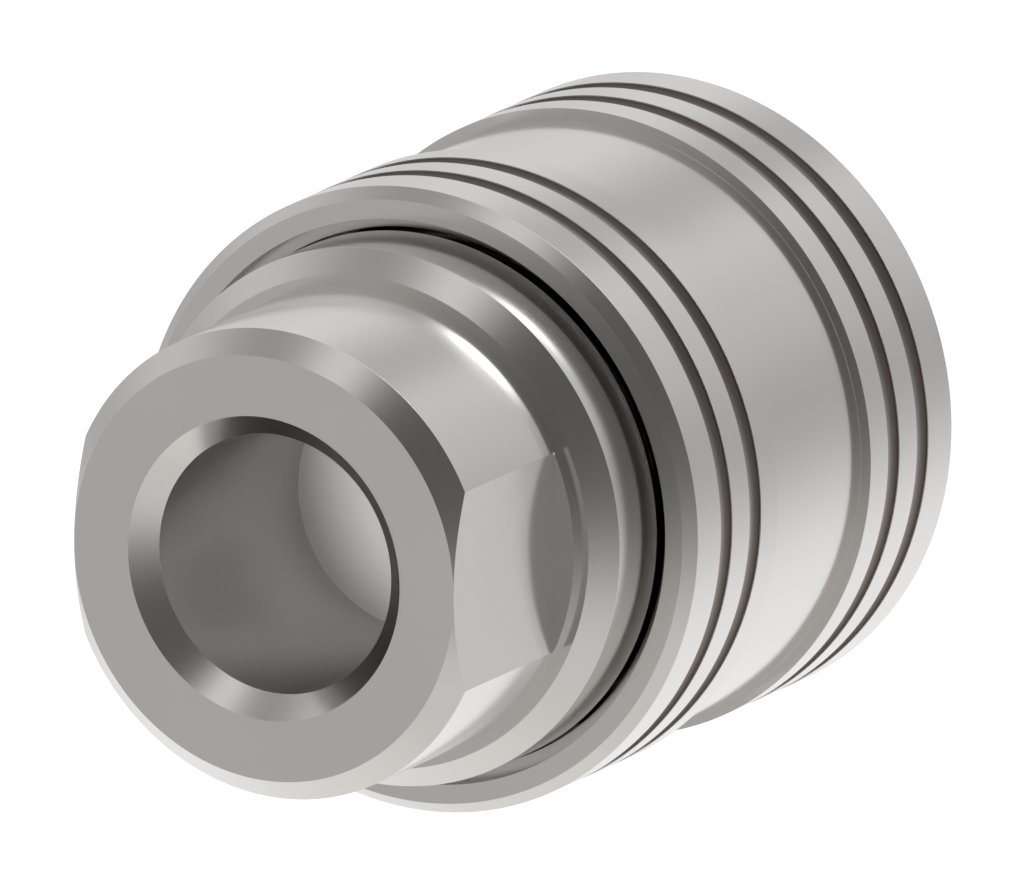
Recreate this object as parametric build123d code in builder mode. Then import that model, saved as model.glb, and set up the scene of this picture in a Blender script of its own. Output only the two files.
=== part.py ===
from build123d import *
from math import cos, radians, sin, tan
import os

# Quick coupling socket: a screw-in hydraulic coupling half that locks its plug with balls.
# Frame: millimetres, +Z up, the coupling's axis along Y. The origin is the centre of the rear port
# face, the port opens towards -Y and the plug enters from +Y.
# Every turned profile is drawn with X as the radius and Y as the place along the axis.

os.makedirs("parts", exist_ok=True)

# Clearances
running_gap = 0.05      # between surfaces that slide on each other
seat_gap = 0.02         # between a seal, a ball or a spring and what it rests on
end_gap = 0.05          # left at a stop when a moving piece is at the end of its travel
coil_gap = 0.325        # on both sides of the sleeve's spring
hub_coil_gap = 0.55     # from the valve guide's hub out to the poppet's spring
lip_gap = 0.3           # from the retaining ring out to the sleeve's counterbore
poppet_gap = 0.7        # flow gap round the poppet
nose_gap = 0.4          # flow gap round the poppet's nose

# Ball lock
plug_bore_r = 7.25
ball_count = 8
ball_r = 1.75
ball_lock = 1.0         # how far a locked ball stands into the plug bore
ball_proud = 0.15       # how far a locked ball stands out of the cage
ball_land = 0.5         # wall between the ball holes and the seal groove
race_depth = 0.2        # relief in the bore where the ball holes break through
race_margin = 0.1       # the relief beyond the ball holes
sleeve_travel = 4.5
lock_taper = 13.5       # degrees, cone in the sleeve that the balls lie on
taper_margin = 0.3      # cone left beyond the balls when the sleeve is pulled back

# Rear body
port_r = 5.8            # tapping size of the G1/4 port
port_depth = 13.0
port_chamfer = 1.0
passage_r = 2.0
flats_across = 19.0
flat_depth = 1.0        # from the round neck down to a wrench flat
flats_runout = 0.4      # round neck left between the wrench flats and the collar
neck_length = 9.1
neck_chamfer = 1.0
collar_width = 4.2
collar_chamfer = 1.0
spigot_length = 5.6
spigot_wall = 2.5
spigot_chamfer = 0.5
undercut_depth = 0.4
undercut_width = 1.6
floor_wall = 1.0        # between the port's floor and the flare behind the valve guide
flare_depth = 1.3
guide_ledge = 0.5       # step that the valve guide rests on

# Grip sleeve
sleeve_length = 23.0    # from its front edge back over the collar
sleeve_wall = 1.9       # over the spring
mouth_depth = 0.9       # counterbore in the sleeve's rear end, round the collar
mouth_step = 0.55
sleeve_chamfer = 0.5
groove_r = 0.5
end_band = 2.0          # plain band between the end chamfer and the outer groove
mid_band = 1.5          # plain bands on both sides of the inner groove
waist_depth = 0.5
spring_room = 1.85      # radial room of the sleeve's spring
spring_length = 10.7
spring_turns = 3.5

# Cage nose and retaining ring
skirt_step = 0.6        # the skirt under the spring stands out of the cage
nose_wall = 1.17        # of the cage ahead of the ring's groove
nose_setback = 0.4      # nose face behind the sleeve's front edge
nose_lead = 0.8
nose_chamfer = 0.4
ring_groove_depth = 0.7
ring_width = 2.85
ring_thickness = 1.0
ring_opening = 3.0
ring_edge = 0.15

# Seals
seal_land = 0.7         # bore wall between its floor and the probe seal's groove
seal_groove_width = 2.0
seal_groove_depth = 1.05
backup_width = 0.8
seal_squeeze = 0.12     # how far the relaxed seal stands into the plug bore
body_seal_depth = 1.2   # radial room of the body seal over the spigot's undercut
body_seal_wall = 0.9    # of the skirt round the body seal

# Valve
valve_room = 5.1        # from the spigot's end to the floor of the plug bore
seat_width = 2.0        # radial width of the valve seat
throat_length = 0.8
poppet_travel = 2.2
poppet_rim = 1.1        # height of the poppet's widest part
poppet_nose_out = 1.2   # nose beyond the floor of the plug bore
poppet_nose_chamfer = 0.4
poppet_seal_width = 1.0
poppet_seal_lip = 0.43  # metal cone ahead of the poppet's seal
poppet_seal_depth = 0.1 # seal groove's floor below the nose
stem_r = 1.0
hub_wall = 0.95
guide_disc_width = 1.0
guide_rim = 0.45        # disc outside the flow holes
guide_hole_r = 1.05
guide_hole_count = 6
poppet_wire_r = 0.25
poppet_turns = 4.0

# Radii that follow: from the plug bore out to the sleeve, then in from the skirt to the stem
ball_rest_r = plug_bore_r - ball_lock + ball_r
race_r = plug_bore_r + race_depth
cage_r = ball_rest_r + ball_r - ball_proud
skirt_r = cage_r + skirt_step
sleeve_bore_r = skirt_r + spring_room
mouth_r = sleeve_bore_r + mouth_step
sleeve_r = sleeve_bore_r + sleeve_wall
collar_r = sleeve_bore_r - running_gap
neck_r = flats_across / 2 + flat_depth
ring_groove_r = cage_r - ring_groove_depth
ring_inner_r = ring_groove_r + running_gap
ring_outer_r = ring_inner_r + ring_width
lip_r = ring_outer_r + lip_gap
seal_pocket_r = skirt_r - body_seal_wall
undercut_r = seal_pocket_r - body_seal_depth
spigot_r = undercut_r + undercut_depth
thread_r = spigot_r + running_gap
chamber_r = spigot_r - spigot_wall
throat_r = chamber_r - seat_width
poppet_r = chamber_r - poppet_gap
poppet_nose_r = throat_r - nose_gap
hub_r = stem_r + running_gap + hub_wall

# Places along the axis that follow, from the port forwards
collar_front_y = neck_length + collar_width
spigot_end_y = collar_front_y + spigot_length
guide_y = port_depth + floor_wall + flare_depth
guide_front_y = guide_y + guide_disc_width
plug_bore_floor_y = spigot_end_y + valve_room
seal_groove_y = plug_bore_floor_y + seal_land
seal_groove_end_y = seal_groove_y + seal_groove_width
ball_y = seal_groove_end_y + ball_land + running_gap + ball_r
race_half = ball_r + running_gap + race_margin
shoulder_y = collar_front_y + spring_length
stop_y = shoulder_y - sleeve_travel - end_gap

# Locking cone: it lies on the balls and widens forwards, so that they can leave the plug
taper_slope = tan(radians(lock_taper))
land_r = cage_r + running_gap
taper_r = ball_rest_r + (ball_r + seat_gap) / cos(radians(lock_taper))
taper_start_y = ball_y - (taper_r - land_r) / taper_slope
ring_y = ball_y - ball_r * sin(radians(lock_taper)) + sleeve_travel + taper_margin
ring_groove_end_y = ring_y + ring_thickness + 2 * seat_gap
nose_y = ring_groove_end_y + nose_wall
sleeve_front_y = nose_y + nose_setback
sleeve_y = sleeve_front_y - sleeve_length
taper_end_r = taper_r + (ring_y - ball_y) * taper_slope

# Valve seat and poppet cone at 45 degrees: along each of them the radius plus Y stays the same
seat_sum = throat_r + plug_bore_floor_y - throat_length
poppet_sum = seat_sum - running_gap * 2**0.5
poppet_rear_y = seat_sum - poppet_r - poppet_rim
poppet_nose_y = plug_bore_floor_y + poppet_nose_out
hub_front_y = poppet_rear_y - poppet_travel - end_gap

# Rear body: one turned bar with the port, the wrench flats, the collar and the hollow spigot.
with BuildPart() as rear_body:
    with BuildSketch(Plane.XY):
        with BuildLine():
            Polyline(
                (port_r + port_chamfer, 0),
                (neck_r - neck_chamfer, 0),
                (neck_r, neck_chamfer),
                (neck_r, neck_length),
                (collar_r - collar_chamfer, neck_length),
                (collar_r, neck_length + collar_chamfer),
                (collar_r, collar_front_y),
                (undercut_r, collar_front_y),
                (undercut_r, collar_front_y + undercut_width),
                (spigot_r, collar_front_y + undercut_width),
                (spigot_r, spigot_end_y - spigot_chamfer),
                (spigot_r - spigot_chamfer, spigot_end_y),
                (chamber_r, spigot_end_y),
                (chamber_r, guide_y),
                (chamber_r - guide_ledge, guide_y),
                (passage_r, guide_y - flare_depth),
                (passage_r, port_depth),
                (port_r, port_depth),
                (port_r, port_chamfer),
                close=True,
            )
        make_face()
    revolve(axis=Axis.Y)
    with BuildSketch(Plane.XY):
        for side, align in ((1, Align.MIN), (-1, Align.MAX)):
            with Locations((side * flats_across / 2, 0)):
                Rectangle(neck_r, neck_length - flats_runout, align=(align, Align.MIN))
    extrude(amount=neck_r, both=True, mode=Mode.SUBTRACT)
rear_body.part.label = "rear_body"
export_step(rear_body.part, "parts/rear_body.step")

# Body seal: the O-ring in the mouth of the front body, over the spigot's undercut.
body_seal_r = body_seal_depth / 2 - seat_gap
with BuildPart() as body_seal:
    with BuildSketch(Plane.XY):
        with Locations((undercut_r + body_seal_depth / 2, collar_front_y + undercut_width / 2)):
            Circle(body_seal_r)
    revolve(axis=Axis.Y)
body_seal.part.label = "body_seal"
export_step(body_seal.part, "parts/body_seal.step")


def ball_plane(number):
    """The plane whose Z axis is the centre line of one ball hole, at the locked ball's centre."""
    angle = radians(360 * (number + 0.5) / ball_count)
    axis = (cos(angle), 0, sin(angle))
    return Plane(origin=(ball_rest_r * axis[0], ball_y, ball_rest_r * axis[2]), z_dir=axis)


# Front body: ball cage, plug bore, seal groove and valve seat, screwed on the spigot.
with BuildPart() as front_body:
    with BuildSketch(Plane.XY):
        with BuildLine():
            Polyline(
                (seal_pocket_r, collar_front_y),
                (skirt_r, collar_front_y),
                (skirt_r, stop_y),
                (cage_r, stop_y),
                (cage_r, ring_y),
                (ring_groove_r, ring_y),
                (ring_groove_r, ring_groove_end_y),
                (cage_r, ring_groove_end_y),
                (cage_r, nose_y - nose_chamfer),
                (cage_r - nose_chamfer, nose_y),
                (plug_bore_r + nose_lead, nose_y),
                (plug_bore_r, nose_y - nose_lead),
                (plug_bore_r, ball_y + race_half),
                (race_r, ball_y + race_half),
                (race_r, ball_y - race_half),
                (plug_bore_r, ball_y - race_half),
                (plug_bore_r, seal_groove_end_y),
                (plug_bore_r + seal_groove_depth, seal_groove_end_y),
                (plug_bore_r + seal_groove_depth, seal_groove_y),
                (plug_bore_r, seal_groove_y),
                (plug_bore_r, plug_bore_floor_y),
                (throat_r, plug_bore_floor_y),
                (throat_r, seat_sum - throat_r),
                (chamber_r, seat_sum - chamber_r),
                (chamber_r, spigot_end_y + end_gap),
                (thread_r, spigot_end_y + end_gap),
                (thread_r, collar_front_y + undercut_width),
                (seal_pocket_r, collar_front_y + undercut_width),
                close=True,
            )
        make_face()
    revolve(axis=Axis.Y)
    # Each ball hole ends in a round seat, so that the ball can stand into the bore but not fall in.
    for number in range(ball_count):
        with Locations(ball_plane(number)):
            Sphere(ball_r + seat_gap, mode=Mode.SUBTRACT)
            Cylinder(
                ball_r + running_gap,
                cage_r - ball_rest_r + ball_r,
                align=(Align.CENTER, Align.CENTER, Align.MIN),
                mode=Mode.SUBTRACT,
            )
front_body.part.label = "front_body"
export_step(front_body.part, "parts/front_body.step")

# Locking balls, one in each hole.
for number in range(ball_count):
    with BuildPart() as locking_ball:
        with Locations(ball_plane(number)):
            Sphere(ball_r)
    locking_ball.part.label = f"locking_ball_{number + 1}"
    export_step(locking_ball.part, f"parts/locking_ball_{number + 1}.step")

# Grip sleeve: waisted and grooved outside. Inside are the mouth round the collar, the bore that
# slides over it and holds the spring, the land, the locking cone and the counterbore for the ring.
waist_start_y = sleeve_y + sleeve_chamfer + end_band + 4 * groove_r + 2 * mid_band
waist_end_y = sleeve_front_y - (waist_start_y - sleeve_y)
outer_groove = sleeve_chamfer + end_band + groove_r
inner_groove = outer_groove + 2 * groove_r + mid_band
with BuildPart() as sleeve:
    with BuildSketch(Plane.XY):
        with BuildLine():
            Polyline(
                (mouth_r, sleeve_y),
                (sleeve_r - sleeve_chamfer, sleeve_y),
                (sleeve_r, sleeve_y + sleeve_chamfer),
                (sleeve_r, waist_start_y),
                (sleeve_r - waist_depth, waist_start_y),
                (sleeve_r - waist_depth, waist_end_y),
                (sleeve_r, waist_end_y),
                (sleeve_r, sleeve_front_y - sleeve_chamfer),
                (sleeve_r - sleeve_chamfer, sleeve_front_y),
                (lip_r, sleeve_front_y),
                (lip_r, ring_y),
                (taper_end_r, ring_y),
                (land_r, taper_start_y),
                (land_r, shoulder_y),
                (sleeve_bore_r, shoulder_y),
                (sleeve_bore_r, sleeve_y + mouth_depth),
                (mouth_r, sleeve_y + mouth_depth),
                close=True,
            )
        make_face()
        with Locations(
            (sleeve_r, sleeve_y + outer_groove),
            (sleeve_r, sleeve_y + inner_groove),
            (sleeve_r, sleeve_front_y - inner_groove),
            (sleeve_r, sleeve_front_y - outer_groove),
        ):
            Circle(groove_r, mode=Mode.SUBTRACT)
    revolve(axis=Axis.Y)
sleeve.part.label = "sleeve"
export_step(sleeve.part, "parts/sleeve.step")

# Retaining ring: split ring in the nose groove, the stop of the sleeve.
with BuildPart() as retaining_ring:
    with BuildSketch(Plane.XY):
        with Locations(((ring_inner_r + ring_outer_r) / 2, ring_y + seat_gap + ring_thickness / 2)):
            RectangleRounded(ring_outer_r - ring_inner_r, ring_thickness, ring_edge)
    revolve(axis=Axis.Y)
    with Locations((0, ring_y + ring_thickness / 2, -(ring_inner_r + ring_outer_r) / 2)):
        Box(ring_opening, 2 * ring_thickness, 2 * (ring_outer_r - ring_inner_r), mode=Mode.SUBTRACT)
retaining_ring.part.label = "retaining_ring"
export_step(retaining_ring.part, "parts/retaining_ring.step")

# Probe seal and its backup ring, side by side in the groove of the plug bore.
probe_seal_r = (seal_groove_width - backup_width) / 2 - seat_gap
with BuildPart() as probe_seal:
    with BuildSketch(Plane.XY):
        with Locations((plug_bore_r - seal_squeeze + probe_seal_r, seal_groove_y + seat_gap + probe_seal_r)):
            Circle(probe_seal_r)
    revolve(axis=Axis.Y)
probe_seal.part.label = "probe_seal"
export_step(probe_seal.part, "parts/probe_seal.step")

with BuildPart() as backup_ring:
    with BuildSketch(Plane.XY):
        with Locations((plug_bore_r + seat_gap, seal_groove_end_y - seat_gap)):
            Rectangle(
                seal_groove_depth - 2 * seat_gap, backup_width - 2 * seat_gap, align=(Align.MIN, Align.MAX)
            )
    revolve(axis=Axis.Y)
backup_ring.part.label = "backup_ring"
export_step(backup_ring.part, "parts/backup_ring.step")

# Poppet: conical valve body with a seal groove in its cone, a blunt nose and a guided stem.
poppet_seal_end_y = poppet_sum - poppet_nose_r - poppet_seal_lip
poppet_seal_y = poppet_seal_end_y - poppet_seal_width
poppet_seal_inner_r = poppet_nose_r - poppet_seal_depth
stem_end_y = port_depth + poppet_travel + 2 * end_gap
with BuildPart() as poppet:
    with BuildSketch(Plane.XY):
        with BuildLine():
            Polyline(
                (0, stem_end_y),
                (stem_r, stem_end_y),
                (stem_r, poppet_rear_y),
                (poppet_r, poppet_rear_y),
                (poppet_r, poppet_sum - poppet_r),
                (poppet_sum - poppet_seal_y, poppet_seal_y),
                (poppet_seal_inner_r, poppet_seal_y),
                (poppet_seal_inner_r, poppet_seal_end_y),
                (poppet_sum - poppet_seal_end_y, poppet_seal_end_y),
                (poppet_nose_r, poppet_sum - poppet_nose_r),
                (poppet_nose_r, poppet_nose_y - poppet_nose_chamfer),
                (poppet_nose_r - poppet_nose_chamfer, poppet_nose_y),
                (0, poppet_nose_y),
                close=True,
            )
        make_face()
    revolve(axis=Axis.Y)
poppet.part.label = "poppet"
export_step(poppet.part, "parts/poppet.step")

# Poppet seal: a soft ring that fills the groove and stands a little proud of the metal cone.
seal_sum = seat_sum - seat_gap
seal_low_y = poppet_seal_y + seat_gap
seal_high_y = poppet_seal_end_y - seat_gap
with BuildPart() as poppet_seal:
    with BuildSketch(Plane.XY):
        with BuildLine():
            Polyline(
                (poppet_seal_inner_r + seat_gap, seal_low_y),
                (seal_sum - seal_low_y, seal_low_y),
                (seal_sum - seal_high_y, seal_high_y),
                (poppet_seal_inner_r + seat_gap, seal_high_y),
                close=True,
            )
        make_face()
    revolve(axis=Axis.Y)
poppet_seal.part.label = "poppet_seal"
export_step(poppet_seal.part, "parts/poppet_seal.step")

# Valve guide: perforated disc with the hub that carries the poppet's stem and stops its travel.
with BuildPart() as valve_guide:
    with BuildSketch(Plane.XY):
        with BuildLine():
            Polyline(
                (stem_r + running_gap, guide_y),
                (chamber_r - running_gap, guide_y),
                (chamber_r - running_gap, guide_front_y),
                (hub_r, guide_front_y),
                (hub_r, hub_front_y),
                (stem_r + running_gap, hub_front_y),
                close=True,
            )
        make_face()
    revolve(axis=Axis.Y)
    with BuildSketch(Plane.XZ.offset(-guide_y)):
        with PolarLocations(chamber_r - running_gap - guide_rim - guide_hole_r, guide_hole_count):
            Circle(guide_hole_r)
    extrude(amount=-guide_disc_width, mode=Mode.SUBTRACT)
valve_guide.part.label = "valve_guide"
export_step(valve_guide.part, "parts/valve_guide.step")


def coil_spring(name, rear_y, front_y, coil_r, wire_r, turns):
    """A compression spring about the Y axis, ground flat where it rests on its two seats."""
    length = front_y - rear_y
    with BuildPart() as spring:
        with BuildLine() as path:
            Helix(length / turns, length, coil_r, center=(0, rear_y, 0), direction=(0, 1, 0))
        wire = path.wires()[0]
        with BuildSketch(Plane(origin=wire @ 0, z_dir=wire % 0)):
            Circle(wire_r)
        sweep(path=wire, is_frenet=True)
        for seat_y, keep in ((rear_y, Keep.BOTTOM), (front_y, Keep.TOP)):
            split(bisect_by=Plane.XZ.offset(-seat_y), keep=keep)
    spring.part.label = name
    export_step(spring.part, f"parts/{name}.step")
    return spring


# Springs: one round the skirt under the sleeve, one round the guide's hub behind the poppet.
sleeve_spring = coil_spring(
    "sleeve_spring",
    collar_front_y + seat_gap,
    shoulder_y - seat_gap,
    skirt_r + spring_room / 2,
    spring_room / 2 - coil_gap,
    spring_turns,
)
poppet_spring = coil_spring(
    "poppet_spring",
    guide_front_y + seat_gap,
    poppet_rear_y - seat_gap,
    hub_r + hub_coil_gap + poppet_wire_r,
    poppet_wire_r,
    poppet_turns,
)
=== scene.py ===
import math

import bmesh
import bpy
from mathutils import Matrix, Vector


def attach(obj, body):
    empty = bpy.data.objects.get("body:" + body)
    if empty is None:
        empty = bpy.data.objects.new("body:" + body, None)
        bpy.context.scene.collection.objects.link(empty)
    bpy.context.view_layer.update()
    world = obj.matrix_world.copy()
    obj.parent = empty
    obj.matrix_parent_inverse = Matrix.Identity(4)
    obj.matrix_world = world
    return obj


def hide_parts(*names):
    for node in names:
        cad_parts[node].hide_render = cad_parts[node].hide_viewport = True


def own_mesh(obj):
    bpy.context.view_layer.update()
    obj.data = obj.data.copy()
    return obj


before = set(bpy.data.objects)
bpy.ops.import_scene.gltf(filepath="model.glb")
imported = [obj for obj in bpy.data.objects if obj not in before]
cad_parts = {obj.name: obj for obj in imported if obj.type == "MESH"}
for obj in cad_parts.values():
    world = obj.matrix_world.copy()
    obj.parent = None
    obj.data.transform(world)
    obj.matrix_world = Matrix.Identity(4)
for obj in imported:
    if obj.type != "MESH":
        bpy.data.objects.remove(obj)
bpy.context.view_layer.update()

# Rear body. One bar of stainless steel: the threaded port in its end, the neck milled to a pair of
# 19 mm wrench flats, the collar, and the hollow spigot that the front body is screwed on. It is
# turned first, and the flats are milled afterwards.
STEEL = (0.78, 0.765, 0.75, 1)
# Painted shade: bores take this darker steel colour for the shade inside them.
BORE_PAINTED_SHADE = (0.52, 0.505, 0.49, 1)
# Painted light: the port's floor takes this lighter steel colour for the light it shows.
PORT_FLOOR_PAINTED_LIGHT = (0.93, 0.925, 0.92, 1)
SATIN = 0.155

MERGE = 1e-7
SHARP_ANGLE = 8
EDGE_STEPS = 2
ROUND_STEPS = 14

# Sizes are in millimetres: radii about the Y axis, and places along it from the port's face.
MM = 0.001
EDGE = 0.006
FLAT_X = 9.5
FLATS_END = 8.7
FLATS_LEDGE = 0.004
FLAT_MARGIN = 0.02
NECK_R = 10.5
NECK_END = 9.1
COLLAR_R = 12.0
COLLAR_FRONT = 13.3
CHAMFER = 1.0
PORT_R = 5.8
PORT_FLOOR = 13.0
PASSAGE_R = 2.0
CHAMBER_FLOOR = 14.0
CHAMBER_R = 6.0
GUIDE_LEDGE = 15.3
LEDGE_WIDTH = 0.5
UNDERCUT_R = 8.1
UNDERCUT_END = 14.9
SPIGOT_R = 8.5
SPIGOT_END = 18.9
SPIGOT_CHAMFER = 0.5


def turned(name, outline, steps=160):
    """Turn a closed outline about the Y axis. Its points are radius, place and rounding."""
    work = bmesh.new()
    corners = [work.verts.new((radius * MM, place * MM, 0)) for radius, place, rounding in outline]
    work.faces.new(corners)
    for size in sorted({point[2] for point in outline if point[2]}):
        bmesh.ops.bevel(
            work,
            geom=[corner for corner, point in zip(corners, outline) if point[2] == size],
            offset=size * MM,
            offset_type="OFFSET",
            segments=EDGE_STEPS if size == EDGE else ROUND_STEPS,
            profile=0.5,
            affect="VERTICES",
            material=-1,
        )
    bmesh.ops.delete(work, geom=work.faces[:], context="FACES_ONLY")
    on_axis = [edge for edge in work.edges if all(vert.co.x < MERGE for vert in edge.verts)]
    bmesh.ops.delete(work, geom=on_axis, context="EDGES")
    bmesh.ops.spin(
        work,
        geom=work.verts[:] + work.edges[:],
        cent=(0, 0, 0),
        axis=(0, 1, 0),
        angle=2 * math.pi,
        steps=steps,
        use_merge=True,
    )
    bmesh.ops.remove_doubles(work, verts=work.verts, dist=MERGE)
    bmesh.ops.recalc_face_normals(work, faces=work.faces)
    return finished(name, work)


def finished(name, work, sharp=SHARP_ANGLE):
    """Put a bmesh in the scene as a piece that is shaded smooth up to the given angle in degrees."""
    mesh = bpy.data.meshes.new(name)
    work.to_mesh(mesh)
    work.free()
    mesh.shade_smooth()
    mesh.set_sharp_from_angle(angle=math.radians(sharp))
    piece = bpy.data.objects.new(name, mesh)
    bpy.context.scene.collection.objects.link(piece)
    return piece


def scored(work, faces, x):
    """Cut a new edge into the faces given, where they cross the plane at x."""
    around = {vert for face in faces for vert in face.verts}
    around |= {edge for face in faces for edge in face.edges}
    bmesh.ops.bisect_plane(
        work,
        geom=list(around) + faces,
        dist=MERGE,
        plane_co=(x * MM, 0, 0),
        plane_no=(1, 0, 0),
    )


def put_back(piece, work):
    """Give a turned piece its mesh back after a cut across it."""
    bmesh.ops.recalc_face_normals(work, faces=work.faces)
    work.to_mesh(piece.data)
    work.free()
    piece.data.set_sharp_from_angle(angle=math.radians(SHARP_ANGLE))


class Signal:
    """A shader socket. Arithmetic on it adds Math nodes, and node() adds any other node."""

    def __init__(self, tree, socket=None):
        self.tree, self.socket = tree, socket

    def node(self, kind, settings=None, inputs=None, output=0):
        made = self.tree.nodes.new("ShaderNode" + kind)
        for name, value in (settings or {}).items():
            setattr(made, name, value)
        for name, value in (inputs or {}).items():
            if isinstance(value, Signal):
                self.tree.links.new(value.socket, made.inputs[name])
            else:
                made.inputs[name].default_value = value
        return Signal(self.tree, made.outputs[output])

    def math(self, operation, *values):
        return self.node("Math", {"operation": operation}, dict(enumerate(values)))

    def __add__(self, other):
        return self.math("ADD", self, other)

    __radd__ = __add__

    def __sub__(self, other):
        return self.math("SUBTRACT", self, other)

    def __rsub__(self, other):
        return self.math("SUBTRACT", other, self)

    def __mul__(self, other):
        return self.math("MULTIPLY", self, other)

    __rmul__ = __mul__

    def __truediv__(self, other):
        return self.math("DIVIDE", self, other)

    def __pow__(self, other):
        return self.math("POWER", self, other)


def surface(name, sockets):
    """A new material: its Principled shader has the constant sockets given, and a start Signal."""
    material = bpy.data.materials.new(name)
    material.use_nodes = True
    shader = material.node_tree.nodes["Principled BSDF"]
    for socket, value in sockets.items():
        shader.inputs[socket].default_value = value
    return material, shader, Signal(material.node_tree)


def location(start):
    """Where a point of the piece is: the vector, x, y and z, and the radius about the axis."""
    place = start.node("TexCoord", output="Object")
    x, y, z = (start.node("SeparateXYZ", inputs={0: place}, output=axis) for axis in "XYZ")
    return place, x, y, z, (x * x + z * z) ** 0.5


def grained(place, scale, detail):
    """Fine noise over a place, or over any other vector."""
    return place.node("TexNoise", inputs={"Vector": place, "Scale": scale, "Detail": detail})


def blended(share, plain, full):
    """A colour that goes from plain to full as the share goes from 0 to 1."""
    return share.node(
        "Mix", {"data_type": "RGBA"}, {"Factor": share, 6: plain, 7: full}, output=2
    )


def times(colour, share):
    """A colour made darker or lighter."""
    return [part * share for part in colour[:3]] + [1]


def joined(material, shader, signals):
    """Lead each signal to its socket of the shader, and give back the material."""
    for socket, signal in signals.items():
        material.node_tree.links.new(signal.socket, shader.inputs[socket])
    return material


def turned_steel(name, colour, roughness, flats=False, zones=()):
    """Fine turned steel: rings of tool marks about the axis, on flats straight cutter marks instead.

    A zone is a bore or groove, left duller by its tool: where it starts and ends along the axis,
    its least and greatest radius, its added roughness, and its colour at each of those radii. That
    colour is painted: darker as shade in the grooves and bores, lighter as light on the port's floor.
    """
    material, shader, start = surface(name, {"Metallic": 1.0})
    place, x, y, z, radius = location(start)
    rings = start.node("CombineXYZ", inputs={0: radius, 1: y, 2: 0.0})
    if flats:
        cutter = start.node("CombineXYZ", inputs={0: z * 0.02, 1: y, 2: 0.7})
        outwards = start.math("ABSOLUTE", x)
        on_flat = start.math("GREATER_THAN", outwards, (FLAT_X - FLAT_MARGIN) * MM)
        on_flat = on_flat * start.math("LESS_THAN", y, FLATS_END * MM)
        rings = start.node(
            "Mix", {"data_type": "VECTOR"}, {"Factor": on_flat, 4: rings, 5: cutter}, output=1
        )
    marks = grained(rings, 7000.0, 2.0)
    cloud = grained(place, 180.0, 3.0)
    tone = blended(cloud * 0.6 + marks * 0.4, times(colour, 0.96), colour)
    rough = roughness - 0.035 + marks * 0.04 + cloud * 0.03
    for first, last, least_r, greatest_r, dulling, deep_painted_tone, shallow_painted_tone in zones:
        inside = start.math("GREATER_THAN", y, first * MM) * start.math("LESS_THAN", y, last * MM)
        inside = inside * start.math("GREATER_THAN", radius, least_r * MM)
        inside = inside * start.math("LESS_THAN", radius, greatest_r * MM)
        rough = rough + inside * dulling
        # Painted shade and light: the zone's colour is darker for the shade in grooves and bores, and
        # lighter for the light on the port's floor.
        rise = (radius - least_r * MM) / ((greatest_r - least_r) * MM)
        tone = blended(inside, tone, blended(rise, deep_painted_tone, shallow_painted_tone))
    relief = start.node("Bump", inputs={"Strength": 0.2, "Distance": 0.0012 * MM, "Height": marks})
    return joined(material, shader, {"Base Color": tone, "Roughness": rough, "Normal": relief})


def dressed(piece, material, slot, body, *nodes):
    """Give a piece its material, let it ride on its body, and let it stand for its nodes. The slot is
    not used.
    """
    piece.data.materials.clear()
    piece.data.materials.append(material)
    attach(piece, body)
    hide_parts(*nodes)


rear_body = turned(
    "rear_body_turned",
    [
        (PORT_R + CHAMFER, 0, 0),
        (NECK_R - CHAMFER, 0, 0),
        (NECK_R, CHAMFER, EDGE),
        (NECK_R, FLATS_END - FLATS_LEDGE, 0),
        (NECK_R, FLATS_END, 0),
        (NECK_R, NECK_END, 0),
        (COLLAR_R - CHAMFER, NECK_END, 0),
        (COLLAR_R, NECK_END + CHAMFER, EDGE),
        (COLLAR_R, COLLAR_FRONT, EDGE),
        (UNDERCUT_R, COLLAR_FRONT, EDGE),
        (UNDERCUT_R, UNDERCUT_END, EDGE),
        (SPIGOT_R, UNDERCUT_END, EDGE),
        (SPIGOT_R, SPIGOT_END - SPIGOT_CHAMFER, EDGE),
        (SPIGOT_R - SPIGOT_CHAMFER, SPIGOT_END, EDGE),
        (CHAMBER_R, SPIGOT_END, EDGE),
        (CHAMBER_R, GUIDE_LEDGE, EDGE),
        (CHAMBER_R - LEDGE_WIDTH, GUIDE_LEDGE, EDGE),
        (PASSAGE_R, CHAMBER_FLOOR, EDGE),
        (PASSAGE_R, PORT_FLOOR, EDGE),
        (PORT_R, PORT_FLOOR, EDGE),
        (PORT_R, CHAMFER, EDGE),
    ],
    steps=320,
)
work = bmesh.new()
work.from_mesh(rear_body.data)
for side in (1, -1):
    neck = [face for face in work.faces if face.calc_center_median().y < FLATS_END * MM]
    scored(work, neck, side * FLAT_X)
for vert in work.verts:
    if vert.co.y < (FLATS_END - FLATS_LEDGE / 2) * MM:
        vert.co.x = max(-FLAT_X * MM, min(FLAT_X * MM, vert.co.x))
bmesh.ops.remove_doubles(work, verts=work.verts, dist=2 * MERGE)
put_back(rear_body, work)

wall_start, wall_end = CHAMFER - 0.01, PORT_FLOOR - 0.01
# Painted shade: the port's wall is coloured darker for the shade in the bore, and made duller.
port_wall = (wall_start, wall_end, PORT_R - 0.05, PORT_R + 0.03, 0.2, BORE_PAINTED_SHADE, BORE_PAINTED_SHADE)
# Painted light: the port's floor is coloured lighter for the light it shows, and made duller.
port_floor = (PORT_FLOOR - 0.05, PORT_FLOOR + 0.05, -1.0, PORT_R - 0.01, 0.34, PORT_FLOOR_PAINTED_LIGHT, PORT_FLOOR_PAINTED_LIGHT)
body_steel = turned_steel("body steel", STEEL, SATIN, flats=True, zones=[port_wall, port_floor])
dressed(rear_body, body_steel, "body_steel", "socket_body", "rear_body")

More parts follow.
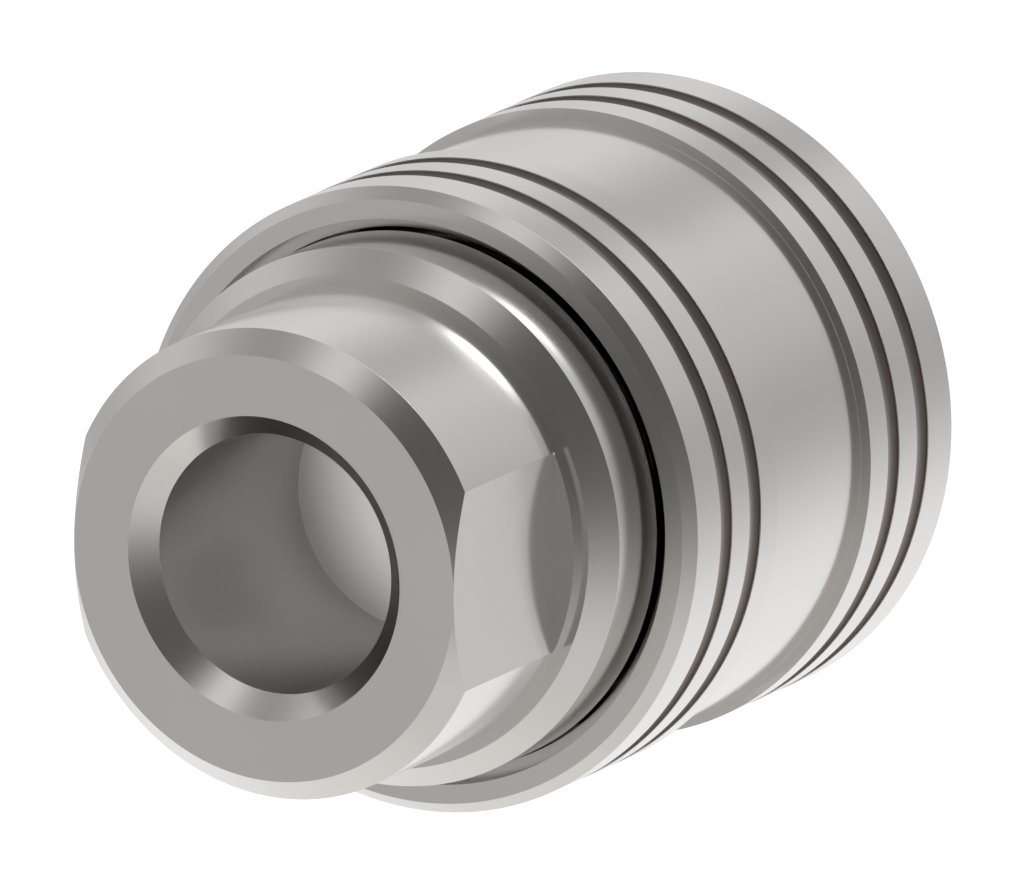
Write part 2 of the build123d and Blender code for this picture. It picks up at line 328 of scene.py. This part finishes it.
# Body seal and front body. The black O-ring lies in the mouth of the front body, over the undercut
# of the spigot. The front body is the ball cage, bored, grooved for the probe seal and drilled with
# eight ball holes, and it is screwed on the spigot up to the collar.
SEAL_CORD_R = 0.58
BODY_SEAL_R = 8.7
BODY_SEAL_PLACE = 14.1
BALL_HOLES = (27, 31)


def merged(name, node, holes=None):
    """A copy of a CAD node's mesh, joined up, with true normals on all that is turned about the axis.

    Between the two places on the axis given as holes, only the cylinders about the axis are turned.
    """
    work = bmesh.new()
    work.from_mesh(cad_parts[node].data)
    bmesh.ops.remove_doubles(work, verts=work.verts, dist=MERGE)
    piece = finished(name, work, sharp=22)
    mesh = piece.data
    normals = [corner.vector.copy() for corner in mesh.corner_normals]
    for face in mesh.polygons:
        outwards = Vector((face.center.x, 0, face.center.z)).normalized()
        radial, axial = face.normal.dot(outwards), face.normal.y
        drilled = holes and holes[0] * MM < face.center.y < holes[1] * MM and abs(radial) < 0.9
        if drilled or radial**2 + axial**2 < 0.99:
            continue
        for loop in face.loop_indices:
            spot = mesh.vertices[mesh.loops[loop].vertex_index].co
            outwards = Vector((spot.x, 0, spot.z)).normalized()
            normals[loop] = (outwards * radial + Vector((0, axial, 0))).normalized()
    mesh.normals_split_custom_set(normals)
    return piece


def rubber(name, colour):
    """Moulded nitrile rubber: black, fine grained, with the slight bloom of a new seal."""
    material, shader, start = surface(name, {"Specular IOR Level": 0.4})
    place = start.node("TexCoord", output="Object")
    grain = grained(place, 9000.0, 3.0)
    bloom = grained(place, 400.0, 4.0)
    tone = blended(bloom * bloom, colour, times(colour, 2.2))
    rough = 0.42 + grain * 0.12 + bloom * 0.1
    relief = start.node("Bump", inputs={"Strength": 0.4, "Distance": 0.006 * MM, "Height": grain})
    return joined(material, shader, {"Base Color": tone, "Roughness": rough, "Normal": relief})


def ring_seal(name, middle_r, place):
    """An O-ring: a round section turned about the axis."""
    sides = 40
    outline = [
        (
            middle_r + SEAL_CORD_R * math.cos(2 * math.pi * side / sides),
            place + SEAL_CORD_R * math.sin(2 * math.pi * side / sides),
            0,
        )
        for side in range(sides)
    ]
    return turned(name, outline)


nitrile = rubber("nitrile rubber", (0.022, 0.022, 0.023, 1))
body_seal = ring_seal("body_seal_ring", BODY_SEAL_R, BODY_SEAL_PLACE)
dressed(body_seal, nitrile, "seal_rubber", "socket_body", "body_seal")

front_body = merged("front_body_cage", "front_body", BALL_HOLES)
dressed(front_body, body_steel, "body_steel", "socket_body", "front_body")

# Locking balls. Eight hardened bearing balls, ground and polished, one in each hole of the cage.
# The cone in the sleeve holds them down in the plug bore.
BALL_R = 1.75
BALL_REST_R = 8.0
BALL_PLACE = 29.0
BALLS = 8


def polished_steel(name, colour):
    """Ground and polished bearing steel, with the faintest haze in its shine."""
    material, shader, start = surface(name, {"Metallic": 1.0})
    place = start.node("TexCoord", output="Object")
    haze = grained(place, 700.0, 4.0)
    tone = blended(haze, times(colour, 0.95), colour)
    return joined(material, shader, {"Base Color": tone, "Roughness": 0.05 + haze * 0.06})


ball_steel = polished_steel("ball steel", (0.72, 0.72, 0.72, 1))
for number in range(BALLS):
    angle = 2 * math.pi * (number + 0.5) / BALLS
    work = bmesh.new()
    bmesh.ops.create_icosphere(work, subdivisions=5, radius=BALL_R * MM)
    bmesh.ops.translate(
        work,
        verts=work.verts,
        vec=Vector((BALL_REST_R * math.cos(angle), BALL_PLACE, BALL_REST_R * math.sin(angle))) * MM,
    )
    ball = finished(f"ball_{number + 1}_polished", work, sharp=180)
    dressed(ball, ball_steel, "ball_steel", f"ball_{number + 1}", f"locking_ball_{number + 1}")

# Valve guide, poppet and its seal. The drilled steel disc stands on a ledge in the spigot and
# carries the poppet's stem in its hub. The poppet is turned with a cone and a blunt nose, and a
# soft ring lies in the groove of the cone and closes the seat.
TOUCH = 0.02
STEM_R = 1.0
POPPET_R = 5.3
POPPET_REAR = 20.8
NOSE_R = 3.6
NOSE_END = 25.2
NOSE_CHAMFER = 0.4
SEAL_BED_R = NOSE_R - 0.1
SEAL_WIDTH = 1.0
SEAL_SETBACK = 0.43

# On the 45 degree cones of the seat and the poppet, the radius and the place add up to one sum.
CONE_GAP = 0.05
SEAT_SUM = 27.2
POPPET_SUM = SEAT_SUM - CONE_GAP * math.sqrt(2)
SEAL_END = POPPET_SUM - NOSE_R - SEAL_SETBACK
SEAL_START = SEAL_END - SEAL_WIDTH

valve_guide = merged("valve_guide_disc", "valve_guide")
guide_steel = turned_steel("guide steel", (0.68, 0.67, 0.655, 1), 0.26)
dressed(valve_guide, guide_steel, "guide_steel", "socket_body", "valve_guide")

poppet = turned(
    "poppet_turned",
    [
        (0, GUIDE_LEDGE, 0),
        (STEM_R, GUIDE_LEDGE, EDGE),
        (STEM_R, POPPET_REAR, EDGE),
        (POPPET_R, POPPET_REAR, EDGE),
        (POPPET_R, POPPET_SUM - POPPET_R, EDGE),
        (POPPET_SUM - SEAL_START, SEAL_START, 0),
        (SEAL_BED_R, SEAL_START, 0),
        (SEAL_BED_R, SEAL_END, 0),
        (POPPET_SUM - SEAL_END, SEAL_END, 0),
        (NOSE_R, POPPET_SUM - NOSE_R, EDGE),
        (NOSE_R, NOSE_END - NOSE_CHAMFER, EDGE),
        (NOSE_R - NOSE_CHAMFER, NOSE_END, EDGE),
        (0, NOSE_END, 0),
    ],
)
valve_steel = turned_steel("valve steel", (0.74, 0.73, 0.715, 1), 0.17)
dressed(poppet, valve_steel, "valve_steel", "valve", "poppet")

seal_rear, seal_front = SEAL_START + TOUCH, SEAL_END - TOUCH
poppet_seal = turned(
    "poppet_seal_ring",
    [
        (SEAL_BED_R + TOUCH, seal_rear, EDGE),
        (SEAT_SUM - TOUCH - seal_rear, seal_rear, EDGE),
        (SEAT_SUM - TOUCH - seal_front, seal_front, EDGE),
        (SEAL_BED_R + TOUCH, seal_front, EDGE),
    ],
)
dressed(poppet_seal, nitrile, "valve_rubber", "valve", "poppet_seal")

# Springs. Drawn steel wire, coiled and ground flat at both ends: a small one round the guide's hub
# that shuts the poppet, and a strong one round the skirt of the front body that holds the sleeve
# forward. Each shortens towards its fixed rear end as its joint moves.
GUIDE_FRONT = 16.3
POPPET_COIL = {"coil_r": 2.8, "wire_r": 0.25, "turns": 4.0}
SLEEVE_COIL = {"coil_r": 11.125, "wire_r": 0.6, "turns": 3.5}
SLEEVE_SEAT = 24.0
SECTION_SIDES = 24
TURN_STEPS = 96


def coiled(name, rear, front, coil_r, wire_r, turns):
    """A coil of round wire about the Y axis, ground flat on its two seats. It starts at the top."""
    pitch = (front - rear) / turns
    work = bmesh.new()
    section = bmesh.ops.create_circle(work, segments=SECTION_SIDES, radius=wire_r * MM)["verts"]
    lean = math.atan2(pitch, 2 * math.pi * coil_r)
    bmesh.ops.rotate(work, verts=section, cent=(0, 0, 0), matrix=Matrix.Rotation(lean, 3, "X"))
    bmesh.ops.translate(work, verts=section, vec=Vector((coil_r, rear, 0)) * MM)
    steps = int(TURN_STEPS * turns)
    bmesh.ops.spin(
        work,
        geom=work.verts[:] + work.edges[:],
        cent=(0, 0, 0),
        axis=(0, 1, 0),
        dvec=(0, (front - rear) / steps * MM, 0),
        angle=2 * math.pi * turns,
        steps=steps,
    )
    to_top = Matrix.Rotation(-math.pi / 2, 3, "Y")
    bmesh.ops.rotate(work, verts=work.verts, cent=(0, 0, 0), matrix=to_top)
    for seat, outwards in ((rear, -1), (front, 1)):
        bmesh.ops.bisect_plane(
            work,
            geom=work.verts[:] + work.edges[:] + work.faces[:],
            dist=1e-8,
            plane_co=(0, seat * MM, 0),
            plane_no=(0, outwards, 0),
            clear_outer=True,
        )
    bmesh.ops.holes_fill(work, edges=[edge for edge in work.edges if edge.is_boundary])
    bmesh.ops.recalc_face_normals(work, faces=work.faces)
    return finished(name, work, sharp=40)


def drawn_wire(name, colour):
    """Drawn spring wire: dull grey, with the die's marks running along it."""
    material, shader, start = surface(name, {"Metallic": 1.0})
    place, _, y, _, radius = location(start)
    along = start.node("CombineXYZ", inputs={0: radius, 1: y * 0.3, 2: 0.0})
    marks = grained(along, 14000.0, 2.0)
    patches = grained(place, 500.0, 4.0)
    tone = blended(patches, times(colour, 0.8), colour)
    rough = 0.24 + marks * 0.14 + patches * 0.1
    relief = start.node("Bump", inputs={"Strength": 0.5, "Distance": 0.002 * MM, "Height": marks})
    return joined(material, shader, {"Base Color": tone, "Roughness": rough, "Normal": relief})


spring_wire = drawn_wire("spring wire", (0.16, 0.155, 0.15, 1))
poppet_spring = coiled("poppet_spring_coil", GUIDE_FRONT + TOUCH, POPPET_REAR - TOUCH, **POPPET_COIL)
dressed(poppet_spring, spring_wire, "spring_steel", "socket_body", "poppet_spring")
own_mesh(poppet_spring)
sleeve_spring = coiled("sleeve_spring_coil", COLLAR_FRONT + TOUCH, SLEEVE_SEAT - TOUCH, **SLEEVE_COIL)
dressed(sleeve_spring, spring_wire, "spring_steel", "socket_body", "sleeve_spring")
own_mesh(sleeve_spring)

# Probe seal and backup ring. They share the groove of the plug bore: the O-ring that seals on the
# plug, and in front of it the white fluoropolymer ring that keeps it from being squeezed out.
PROBE_SEAL_R = 7.71
PROBE_SEAL_PLACE = 25.3
BACKUP_INNER_R, BACKUP_OUTER_R = 7.27, 8.28
BACKUP_REAR, BACKUP_FRONT = 25.92, 26.68


def fluoropolymer(name, colour):
    """Turned white fluoropolymer: waxy, slightly translucent looking, with faint turning rings."""
    material, shader, start = surface(name, {"IOR": 1.38})
    place, _, y, _, radius = location(start)
    rings = start.node("CombineXYZ", inputs={0: radius, 1: y, 2: 0.0})
    marks = grained(rings, 9000.0, 2.0)
    clouds = grained(place, 600.0, 3.0)
    tone = blended(clouds, times(colour, 0.92), colour)
    rough = 0.38 + marks * 0.1
    relief = start.node("Bump", inputs={"Strength": 0.4, "Distance": 0.003 * MM, "Height": marks})
    return joined(material, shader, {"Base Color": tone, "Roughness": rough, "Normal": relief})


probe_seal = ring_seal("probe_seal_ring", PROBE_SEAL_R, PROBE_SEAL_PLACE)
dressed(probe_seal, nitrile, "seal_rubber", "socket_body", "probe_seal")
backup_ring = turned(
    "backup_ring_turned",
    [
        (BACKUP_INNER_R, BACKUP_REAR, EDGE),
        (BACKUP_OUTER_R, BACKUP_REAR, EDGE),
        (BACKUP_OUTER_R, BACKUP_FRONT, EDGE),
        (BACKUP_INNER_R, BACKUP_FRONT, EDGE),
    ],
)
backup_plastic = fluoropolymer("white fluoropolymer", (0.8, 0.79, 0.75, 1))
dressed(backup_ring, backup_plastic, "backup_plastic", "socket_body", "backup_ring")

# Grip sleeve. Turned from stainless steel tube: two round-bottomed grip grooves at each end, a
# shallow waist between them, and inside it the mouth round the collar, the bore over the spring,
# the land, the cone that holds the balls, and the counterbore for the retaining ring.
SLEEVE_R = 13.95
SLEEVE_REAR, SLEEVE_FRONT = 13.0, 36.0
SLEEVE_CHAMFER = 0.5
GROOVE_R = 0.5
GROOVE_ROUND = 0.499
GROOVES = (16.0, 18.5, 30.5, 33.0)
# Painted shade: the grip grooves are coloured darker, darkest at the rim, for the shade that falls in
# them.
GROOVE_FLOOR_PAINTED_SHADE = (0.52, 0.47, 0.44, 1)
GROOVE_RIM_PAINTED_SHADE = (0.12, 0.1, 0.09, 1)
WAIST_REAR, WAIST_FRONT = 20.5, 28.5
WAIST_DEPTH = 0.5
MOUTH_R = 12.6
MOUTH_END = SLEEVE_REAR + 0.9
SLEEVE_BORE_R = 12.05
LAND_R = 9.65
LAND_END = 28.29
CONE_FRONT_R = 10.875
COUNTERBORE_R = 12.1
RING_STOP = 33.3915

notches = [
    [
        (SLEEVE_R, place - GROOVE_R, EDGE),
        (SLEEVE_R - GROOVE_R, place - GROOVE_R, GROOVE_ROUND),
        (SLEEVE_R - GROOVE_R, place + GROOVE_R, GROOVE_ROUND),
        (SLEEVE_R, place + GROOVE_R, EDGE),
    ]
    for place in GROOVES
]
sleeve = turned(
    "grip_sleeve_turned",
    [
        (MOUTH_R, SLEEVE_REAR, 0),
        (SLEEVE_R - SLEEVE_CHAMFER, SLEEVE_REAR, 0),
        (SLEEVE_R, SLEEVE_REAR + SLEEVE_CHAMFER, EDGE),
        *notches[0],
        *notches[1],
        (SLEEVE_R, WAIST_REAR, EDGE),
        (SLEEVE_R - WAIST_DEPTH, WAIST_REAR, EDGE),
        (SLEEVE_R - WAIST_DEPTH, WAIST_FRONT, EDGE),
        (SLEEVE_R, WAIST_FRONT, EDGE),
        *notches[2],
        *notches[3],
        (SLEEVE_R, SLEEVE_FRONT - SLEEVE_CHAMFER, EDGE),
        (SLEEVE_R - SLEEVE_CHAMFER, SLEEVE_FRONT, EDGE),
        (COUNTERBORE_R, SLEEVE_FRONT, EDGE),
        (COUNTERBORE_R, RING_STOP, EDGE),
        (CONE_FRONT_R, RING_STOP, EDGE),
        (LAND_R, LAND_END, EDGE),
        (LAND_R, SLEEVE_SEAT, EDGE),
        (SLEEVE_BORE_R, SLEEVE_SEAT, EDGE),
        (SLEEVE_BORE_R, MOUTH_END, EDGE),
        (MOUTH_R, MOUTH_END, EDGE),
    ],
    steps=360,
)
# Painted shade in the grip grooves: each is coloured darker from floor to rim for the shade in it, and
# made duller.
groove_r, rim_r = SLEEVE_R - GROOVE_R - 0.02, SLEEVE_R - 0.01
zones = [
    (place - GROOVE_R, place + GROOVE_R, groove_r, rim_r, 0.3, GROOVE_FLOOR_PAINTED_SHADE, GROOVE_RIM_PAINTED_SHADE)
    for place in GROOVES
]
# Painted shade: the sleeve's mouth round the collar is coloured darker for the shade in it, and made
# duller.
zones.append((SLEEVE_REAR + 0.005, MOUTH_END + 0.05, COLLAR_R, MOUTH_R + 0.01, 0.1, BORE_PAINTED_SHADE, BORE_PAINTED_SHADE))
sleeve_steel = turned_steel("sleeve steel", STEEL, SATIN, zones=zones)
dressed(sleeve, sleeve_steel, "sleeve_steel", "grip_sleeve", "sleeve")

# Retaining ring. A flat split ring of dark spring steel, sprung into the groove of the cage's nose:
# the sleeve stops against it. It is turned whole and then slit.
RING_INNER_R, RING_OUTER_R = 8.95, 11.8
RING_THICKNESS = 1.0
RING_REAR = RING_STOP + TOUCH
RING_FRONT = RING_REAR + RING_THICKNESS
RING_ROUND = 0.15
RING_OPENING = 3.0

retaining_ring = turned(
    "retaining_ring_split",
    [
        (RING_INNER_R, RING_REAR, RING_ROUND),
        (RING_OUTER_R, RING_REAR, RING_ROUND),
        (RING_OUTER_R, RING_FRONT, RING_ROUND),
        (RING_INNER_R, RING_FRONT, RING_ROUND),
    ],
    steps=320,
)
work = bmesh.new()
work.from_mesh(retaining_ring.data)
for side in (1, -1):
    lower = [face for face in work.faces if face.calc_center_median().z < 0]
    scored(work, lower, side * RING_OPENING / 2)
slit = []
for face in work.faces:
    middle = face.calc_center_median()
    if middle.z < 0 and abs(middle.x) < RING_OPENING / 2 * MM:
        slit.append(face)
bmesh.ops.delete(work, geom=slit, context="FACES")
bmesh.ops.holes_fill(work, edges=[edge for edge in work.edges if edge.is_boundary])
put_back(retaining_ring, work)
ring_steel = turned_steel("ring steel", (0.45, 0.45, 0.45, 1), 0.3)
dressed(retaining_ring, ring_steel, "ring_steel", "stop_ring", "retaining_ring")

# Floor. White studio sweep just under the sleeve, which takes the coupling's faint shadow. The steel
# mirrors the lamps of the studio in its place.
FLOOR_Z = -13.97
FLOOR_R = 4000.0
PAINT = (0.85, 0.85, 0.85, 1)
WHITE = (1, 1, 1, 1)
GLOW = 1.3
SHADE_KEPT = 0.22

work = bmesh.new()
bmesh.ops.create_circle(work, cap_ends=True, segments=96, radius=FLOOR_R * MM)
bmesh.ops.translate(work, verts=work.verts, vec=(0, 0, FLOOR_Z * MM))
mesh = bpy.data.meshes.new("studio_floor")
work.to_mesh(mesh)
work.free()
floor = bpy.data.objects.new("studio_floor", mesh)
bpy.context.scene.collection.objects.link(floor)

paint, shader, start = surface("studio white", {"Base Color": PAINT, "Roughness": 1.0})
seen, shading, mirrored = (
    start.node("LightPath", output=f"Is {kind} Ray") for kind in ("Camera", "Shadow", "Glossy")
)
passing = start.math("MAXIMUM", shading, mirrored)
clear = start.node("BsdfTransparent")
white = start.node("Emission", inputs={"Color": WHITE, "Strength": GLOW})
lit = Signal(start.tree, shader.outputs[0])
plain = start.node("MixShader", inputs={0: passing, 1: lit, 2: clear})
shown = start.node("MixShader", inputs={0: seen * (1 - SHADE_KEPT), 1: plain, 2: white})
start.tree.links.new(shown.socket, start.tree.nodes["Material Output"].inputs["Surface"])
floor.data.materials.append(paint)

# Studio light. The world holds the soft lamps as broad glows by direction, over a dim room: azimuth
# and height of each in degrees, how far it spreads, its strength and its colour. The camera sees
# plain white.
ROOM = 0.107
WARM = (1, 0.965, 0.925, 1)
LAMPS = [
    (-76, 21, 22, 0.54, WHITE),
    (10, 78, 12, 1.1, WHITE),
    (-140, 35, 23, 0.82, WHITE),
    (142, 27, 19, 0.55, WHITE),
    (-141, -38, 35, 0.92, WHITE),
    (-10, -68, 29, 0.66, WARM),
    (171, -14, 16, 1.1, WHITE),
    (-41, -23, 31, 0.235, WARM),
    (99, -30, 24, 1.1, WHITE),
    (-11, 11, 16, 0.59, WARM),
    (30, -38, 18, 0.3, WARM),
    (153, 52, 11, 4.4, WHITE),
    (-84, 81, 22, 0.34, WHITE),
    (-4, -2, 9, 9.0, WHITE),
]

world = bpy.data.worlds.new("studio")
bpy.context.scene.world = world
world.use_nodes = True
sky = Signal(world.node_tree)
heading = sky.node("TexCoord")
glow = {WHITE: ROOM, WARM: 0.0}
for azimuth, height, spread, strength, colour in LAMPS:
    turn, rise = math.radians(azimuth), math.radians(height)
    aim = (math.sin(turn) * math.cos(rise), -math.cos(turn) * math.cos(rise), math.sin(rise))
    tightness = math.log(2) / (1 - math.cos(math.radians(spread)))
    facing = sky.node("VectorMath", {"operation": "DOT_PRODUCT"}, {0: heading, 1: aim}, output=1)
    glow[colour] = sky.math("EXPONENT", (facing - 1.0) * tightness) * strength + glow[colour]
white, warm = (sky.node("Background", inputs={"Color": tint, "Strength": glow[tint]}) for tint in glow)
lamps = sky.node("AddShader", inputs={0: white, 1: warm})
backdrop = sky.node("Background", inputs={"Color": WHITE, "Strength": 1.0})
seen = sky.node("LightPath", output="Is Camera Ray")
whole = sky.node("MixShader", inputs={0: seen, 1: lamps, 2: backdrop})
sky.tree.links.new(whole.socket, sky.tree.nodes["World Output"].inputs["Surface"])

# Camera. A parallel view from 30 degrees round to the port's right and 15 degrees up, as wide as
# 44.4 mm, aimed so that the coupling lies in the picture as in the photograph.
AIM = Vector((8.607, 6.620, 5.333)) * MM
VIEW = Vector((0.48296, -0.83652, 0.25882))
DISTANCE = 400.0
FRAME_WIDTH = 44.41

camera = bpy.data.objects.new("camera", bpy.data.cameras.new("camera"))
bpy.context.scene.collection.objects.link(camera)
camera.data.type = "ORTHO"
camera.data.ortho_scale = FRAME_WIDTH * MM
camera.data.clip_start = 0.01
camera.data.clip_end = 10
camera.location = AIM + VIEW * DISTANCE * MM
camera.rotation_euler = VIEW.to_track_quat("Z", "Y").to_euler()
bpy.context.scene.camera = camera
bpy.context.scene.view_settings.view_transform = "Standard"
